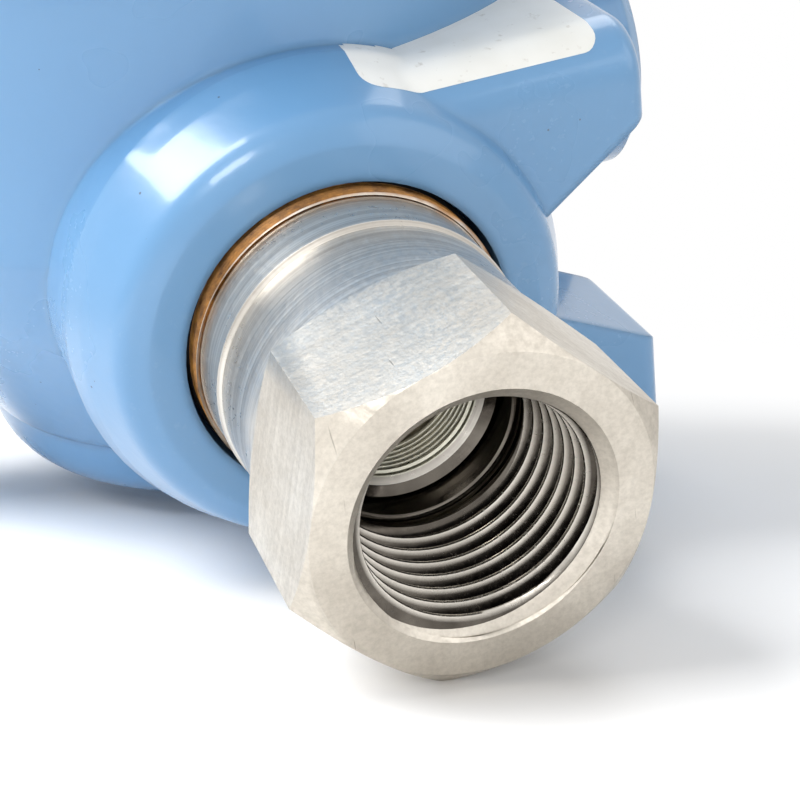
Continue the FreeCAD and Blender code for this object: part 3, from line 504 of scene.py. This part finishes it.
def screw_cover(name, node, side, lip, radius, thread, disc, rounding, ribs, body):
    """Cover turned about Y: side is -1 for the front, 1 for the rear; lip is the rim that it closes."""
    seat, seal, end = lip + COVER_GAP, lip - SEAL_AT, lip - SKIRT_LENGTH
    top, skirt = seat + disc, thread - COVER_GAP
    inner, floor = skirt - SKIRT_WALL, top - COVER_FLOOR
    ring = 0.62 * radius
    line = [(0, top), (ring - 2.2, top), (ring - 1.6, top - 0.5), (ring - 0.4, top - 0.5), (ring + 0.2, top)]
    for a in (math.pi / 2 * k / 8 for k in range(9)):
        line.append((radius - rounding + rounding * math.sin(a), top - rounding + rounding * math.cos(a)))
    line += [(radius, seat + (disc - rounding) * part) for part in (0.75, 0.5, 0.25)]
    line += [(radius - 0.3, seat + 0.12), (radius - 0.6, seat), (skirt, seat), (skirt, seal + SEAL_HALF),
             (skirt - SEAL_DEPTH, seal + SEAL_HALF), (skirt - SEAL_DEPTH, seal - SEAL_HALF),
             (skirt, seal - SEAL_HALF), (skirt, end + 0.2), (skirt - 0.3, end), (inner, end),
             (inner, floor), (0, floor)]
    bm = bmesh.new()
    lathe(bm, line, ribs * 8 or 128)
    bmesh.ops.remove_doubles(bm, verts=bm.verts, dist=0.001)
    for vert in bm.verts:
        r = math.hypot(vert.co.x, vert.co.y)
        if ribs and r > radius - rounding * 0.8 and seat + 0.9 < vert.co.z < top - rounding * 0.25:
            wave = 0.5 - 0.5 * math.cos(math.atan2(vert.co.y, vert.co.x) * ribs)
            pull = 1 - 0.75 * min(1, max(0, (wave - 0.3) / 0.5)) / r
            vert.co.x *= pull
            vert.co.y *= pull
    bmesh.ops.recalc_face_normals(bm, faces=bm.faces)
    bmesh.ops.rotate(bm, verts=bm.verts, cent=(0, 0, 0), matrix=Matrix.Rotation(-side * math.pi / 2, 3, "X"))
    bmesh.ops.translate(bm, verts=bm.verts, vec=(0, 0, BARREL_HEIGHT))
    piece = finish_piece(name, bm, cover_enamel, body, crease=38)
    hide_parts(node)


cover_enamel = enamel("cover_enamel", round_by=0.5)
screw_cover("front_cover_ribbed", "front_cover", side=-1, lip=50.0, radius=42.0, thread=36.0, disc=9.0,
            rounding=4.0, ribs=40, body="front_cap")
screw_cover("rear_cover_smooth", "rear_cover", side=1, lip=21.0, radius=28.8, thread=26.0, disc=8.0,
            rounding=5.5, ribs=0, body="rear_cap")

# %% [markdown]
# A plain white sticker lies on the flat face of the front lug.  It is left bare.  A rounded rectangle
# is sliced into narrow strips and each point is dropped on to the casting along Y, so that it follows
# the rounded lower edge.  What the barrel hides is cut away inside its wall, and the rest gets the
# thickness of a label.

# %%  Bare sticker on the front lug
LABEL_X, LABEL_Z = (5.4, 27.2), (34.9, 57.0)


def sticker(name):
    f = Finish(name)
    tint = f.blend(f.ramp(f.noise(90, 3), 0.35, 0.7), rgb(238, 238, 234), rgb(222, 221, 214))
    tint = f.blend(f.ramp(f.noise(700, 3, 0.7), 0.62, 0.75) * 0.5, tint, rgb(168, 160, 146))
    return f.surface({"Base Color": tint, "Roughness": 0.4 + f.noise(200, 2) * 0.1,
                      "Normal": f.bump(0.25, 0.08 * MM, f.noise(320, 3))})


label = bmesh.new()
bmesh.ops.create_grid(label, x_segments=1, y_segments=1, size=0.5)
bmesh.ops.scale(label, vec=(LABEL_X[1] - LABEL_X[0], LABEL_Z[1] - LABEL_Z[0], 1), verts=label.verts)
bmesh.ops.bevel(label, geom=label.verts[:], offset=1.6, offset_type="OFFSET", segments=6, profile=0.5,
                affect="VERTICES", material=-1)
bmesh.ops.rotate(label, verts=label.verts, cent=(0, 0, 0), matrix=Matrix.Rotation(math.pi / 2, 3, "X"))
bmesh.ops.translate(label, verts=label.verts, vec=(sum(LABEL_X) / 2, -60, sum(LABEL_Z) / 2))
for axis, (low, high) in (((1, 0, 0), LABEL_X), ((0, 0, 1), LABEL_Z)):
    for k in range(1, int((high - low) / 0.5)):
        spot = Vector(axis) * (low + k * 0.5)
        bmesh.ops.bisect_plane(label, geom=label.verts[:] + label.edges[:] + label.faces[:], dist=0.0001,
                               plane_co=spot, plane_no=axis)
casting = nodes["housing_casting"]
seated = 0
for vert in label.verts:
    start = Vector((vert.co.x, -23.6, vert.co.z)) * MM
    hit, point, normal, index = casting.ray_cast(start, Vector((0, 1, 0)), distance=0.012)
    if hit:
        vert.co = (vert.co.x, point.y / MM - 0.05, vert.co.z)
        seated += 1
    else:
        vert.co.y = -20.65
INSIDE_WALL = 37.5
barrel = Vector((0, 0, BARREL_HEIGHT))
hidden = [face for face in label.faces
          if (face.calc_center_median() - barrel).xz.length < INSIDE_WALL]
bmesh.ops.delete(label, geom=hidden, context="FACES")
label.normal_update()
print("sticker points on the casting:", seated, "of", len(label.verts))
bmesh.ops.solidify(label, geom=label.faces[:], thickness=0.12)
bmesh.ops.recalc_face_normals(label, faces=label.faces)
finish_piece("blank_sticker", label, sticker("white_sticker"), "housing", crease=40)

# %% [markdown]
# The camera sits close under the hexagon and looks up into the port, with a long lens.  Its three
# directions are written out, since that is the surest way to keep a view once it is found.

# %%  Camera
RIGHT, UP, AHEAD = (Vector(v) for v in ((0.932796, 0.114750, -0.341647), (0.269750, -0.850951, 0.450684),
                                        (0.239009, 0.512556, 0.824719)))
lens = bpy.data.cameras.new("camera")
lens.sensor_width, lens.lens, lens.clip_start, lens.clip_end = 36.0, 80.415, 0.005, 20.0
camera = bpy.data.objects.new("camera", lens)
bpy.context.scene.collection.objects.link(camera)
turn = Matrix((RIGHT, UP, -AHEAD)).transposed().to_4x4()
turn.translation = Vector((-34.495, -74.596, -100.863)) * MM
camera.matrix_world = turn
bpy.context.scene.camera = camera
print("lens", round(lens.lens, 1), "mm")

# %% [markdown]
# The transmitter lies on a pale table, on a corner of its hexagon and on its rear side.  The table is
# a wide sheet seen only from above, so that the back of the object can be looked at too.  Soft boxes
# stand to the upper left and the right; the surroundings are white to the eye but light the object
# only gently.

# %%  Table, surroundings and lamps
TABLE_UP = Vector((0.2241, -0.9270, 0.3006)).normalized()
lowest = min((Vector((corner * math.cos(math.radians(HEX_TURN + 60 * k)),
                      corner * math.sin(math.radians(HEX_TURN + 60 * k)), 2.6)) for k in range(6)),
             key=lambda p: p.dot(TABLE_UP)) * MM
table = bmesh.new()
bmesh.ops.create_grid(table, x_segments=1, y_segments=1, size=1.5)
bmesh.ops.rotate(table, verts=table.verts, cent=(0, 0, 0),
                 matrix=Vector((0, 0, 1)).rotation_difference(TABLE_UP).to_matrix())
bmesh.ops.translate(table, verts=table.verts, vec=lowest)
table_mesh = bpy.data.meshes.new("table")
table.to_mesh(table_mesh)
table.free()


def pale_table():
    f = Finish("pale_table")
    tree = f.material.node_tree
    grain = f.ramp(f.noise(30, 3), 0.3, 0.7)
    tint = f.blend(grain * 0.4, (0.93, 0.93, 0.93, 1), (0.90, 0.90, 0.90, 1))
    matt = f.node("ShaderNodeBsdfDiffuse", {}, {"Color": tint})
    rays = (f.node("ShaderNodeLightPath", out="Is Camera Ray")
            + f.node("ShaderNodeLightPath", out="Is Glossy Ray")
            + f.node("ShaderNodeLightPath", out="Is Transmission Ray"))
    glow = f.node("ShaderNodeEmission", {}, {"Color": (1, 1, 1, 1), "Strength": 1.0})
    away = f.node("ShaderNodeVectorMath", {"operation": "LENGTH"}, {0: f.place}, out="Value")
    far = f.smooth(away, 0.075, 0.2)
    lit = f.node("ShaderNodeMixShader", {}, {0: far * rays, 1: matt, 2: glow})
    clear = f.node("ShaderNodeBsdfTransparent")
    under = f.node("ShaderNodeNewGeometry", out="Backfacing")
    both = f.node("ShaderNodeMixShader", {}, {0: under, 1: lit, 2: clear})
    output = tree.nodes.new("ShaderNodeOutputMaterial")
    tree.links.new(both.socket, output.inputs["Surface"])
    return f.material


table_mesh.materials.append(pale_table())
table_top = bpy.data.objects.new("table_top", table_mesh)
bpy.context.scene.collection.objects.link(table_top)

world = bpy.data.worlds.new("surroundings")
bpy.context.scene.world = world
world.use_nodes = True
tree = world.node_tree
tree.nodes.clear()
path = tree.nodes.new("ShaderNodeLightPath")
seen = tree.nodes.new("ShaderNodeMath")
seen.operation = "ADD"
tree.links.new(path.outputs["Is Camera Ray"], seen.inputs[0])
also = tree.nodes.new("ShaderNodeMath")
also.operation = "ADD"
tree.links.new(path.outputs["Is Transmission Ray"], also.inputs[0])
tree.links.new(path.outputs["Is Glossy Ray"], also.inputs[1])
tree.links.new(also.outputs[0], seen.inputs[1])
level = tree.nodes.new("ShaderNodeMapRange")
level.inputs[3].default_value, level.inputs[4].default_value = 0.4, 1.0
tree.links.new(seen.outputs[0], level.inputs[0])
air = tree.nodes.new("ShaderNodeBackground")
air.inputs["Color"].default_value = (1, 1, 1, 1)
tree.links.new(level.outputs[0], air.inputs["Strength"])
tree.links.new(air.outputs[0], tree.nodes.new("ShaderNodeOutputWorld").inputs["Surface"])

target = Vector((0, -4, 22)) * MM


def soft_box(name, side, up, toward, distance, size, power):
    """Square lamp at a direction given in the camera's own terms, aimed at the object."""
    away = (RIGHT * side + UP * up - AHEAD * toward).normalized()
    data = bpy.data.lights.new(name, "AREA")
    data.shape, data.size, data.energy = "SQUARE", size, power
    lamp = bpy.data.objects.new(name, data)
    bpy.context.scene.collection.objects.link(lamp)
    aim = away.to_track_quat("Z", "Y").to_matrix().to_4x4()
    lamp.matrix_world = Matrix.Translation(target + away * distance) @ aim


soft_box("key_box", -0.75, 0.85, 0.35, distance=0.55, size=0.34, power=4.2)
soft_box("front_box", -0.12, 0.22, 0.97, distance=0.6, size=0.16, power=0.9)
soft_box("fill_box", 0.9, 0.35, 0.6, distance=0.75, size=0.5, power=0.9)
soft_box("top_box", 0.1, 1.0, -0.25, distance=0.7, size=0.4, power=1.3)
bpy.context.scene.view_settings.view_transform = "Standard"
